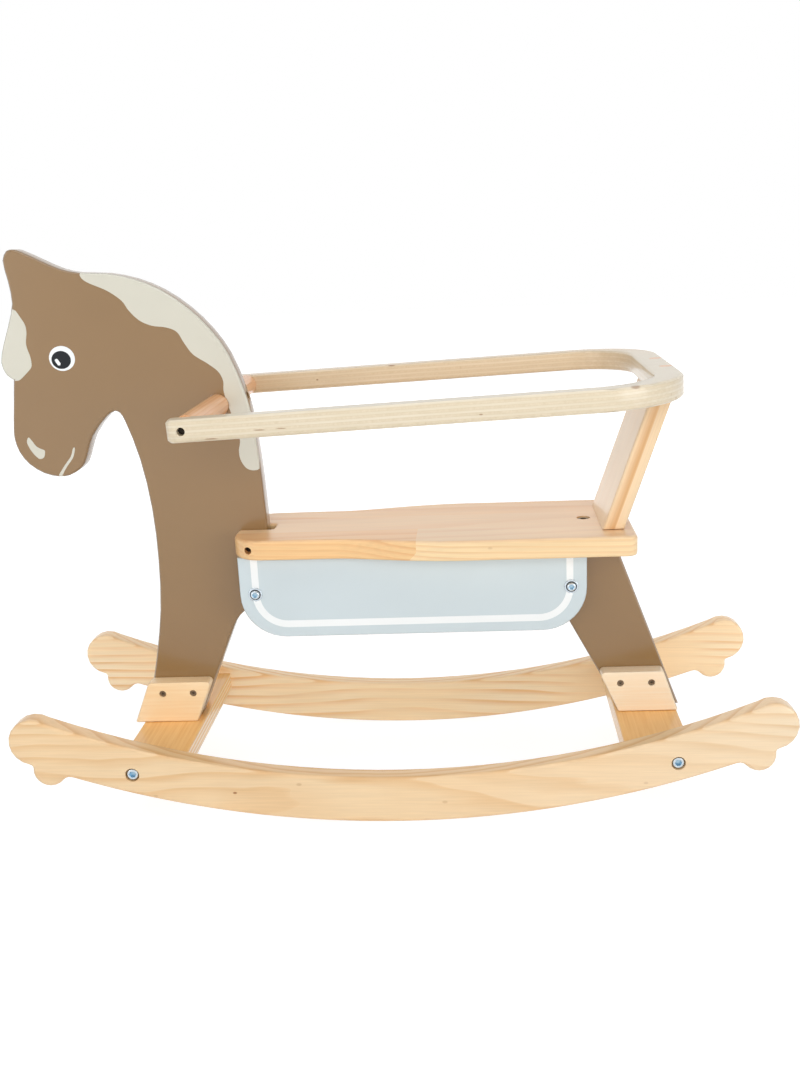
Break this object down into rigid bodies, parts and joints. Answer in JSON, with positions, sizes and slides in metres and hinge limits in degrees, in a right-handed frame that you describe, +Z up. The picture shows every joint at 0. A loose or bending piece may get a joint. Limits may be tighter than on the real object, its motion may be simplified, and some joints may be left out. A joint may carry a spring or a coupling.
{
  "type": "rocking horse",
  "caption": "Wooden rocking horse for a toddler: painted horse-shaped board on two rockers, with a seat, leaning backrest, guard ring and handlebar.",
  "frame": {"origin": "on the floor, at the middle of the horse's length and width, below the seat", "axes": "+X towards the backrest, with the nose towards -X; +Y towards the horse's right; +Z up"},
  "size_m": [0.6866, 0.284, 0.4963],
  "materials": {
    "brown_paint": "satin paint on board",
    "blue_paint": "satin paint on board",
    "pine": "clear satin lacquer",
    "seat_pine": "clear satin lacquer",
    "plywood": "clear satin lacquer",
    "dowel_wood": "clear satin lacquer",
    "zinc": "zinc plated"
  },
  "bodies": {
    "root": {"body_board": "brown_paint", "rocker_left": "pine", "rocker_right": "pine", "front_crossbar": "plywood", "rear_crossbar": "plywood", "front_cleat_left": "plywood", "front_cleat_right": "plywood", "rear_cleat_left": "plywood", "rear_cleat_right": "plywood", "seat": "seat_pine", "backrest": "pine", "guard_ring": "plywood", "handlebar": "dowel_wood", "saddle_panel_left": "blue_paint", "saddle_panel_right": "blue_paint", "saddle_spacer_front_left": "pine", "saddle_spacer_front_right": "pine", "saddle_spacer_rear_left": "pine", "saddle_spacer_rear_right": "pine", "saddle_bolt_front": "zinc", "saddle_bolt_rear": "zinc", "saddle_nut_front": "zinc", "saddle_nut_rear": "zinc", "rocker_bolt_front_left": "zinc", "rocker_bolt_front_right": "zinc", "rocker_bolt_rear_left": "zinc", "rocker_bolt_rear_right": "zinc", "rocker_nut_front_left": "zinc", "rocker_nut_front_right": "zinc", "rocker_nut_rear_left": "zinc", "rocker_nut_rear_right": "zinc", "rocker_dowel_front_left": "dowel_wood", "rocker_dowel_front_right": "dowel_wood", "rocker_dowel_rear_left": "dowel_wood", "rocker_dowel_rear_right": "dowel_wood", "seat_screw_left": "zinc", "seat_screw_right": "zinc", "seat_bolt": "zinc", "seat_nut": "zinc", "backrest_screw_left": "zinc", "backrest_screw_right": "zinc", "ring_screw_left": "zinc", "ring_screw_right": "zinc", "ring_plug_left": "dowel_wood", "ring_plug_right": "dowel_wood", "handlebar_screw_left": "zinc", "handlebar_screw_right": "zinc", "handlebar_lock_screw": "zinc", "cleat_bolt_front_outer": "zinc", "cleat_bolt_front_inner": "zinc", "cleat_bolt_rear_outer": "zinc", "cleat_bolt_rear_inner": "zinc", "cleat_nut_front_outer": "zinc", "cleat_nut_front_inner": "zinc", "cleat_nut_rear_outer": "zinc", "cleat_nut_rear_inner": "zinc", "bar_screw_front_left": "zinc", "bar_screw_front_right": "zinc", "bar_screw_rear_left": "zinc", "bar_screw_rear_right": "zinc"}
  },
  "joints": []
}
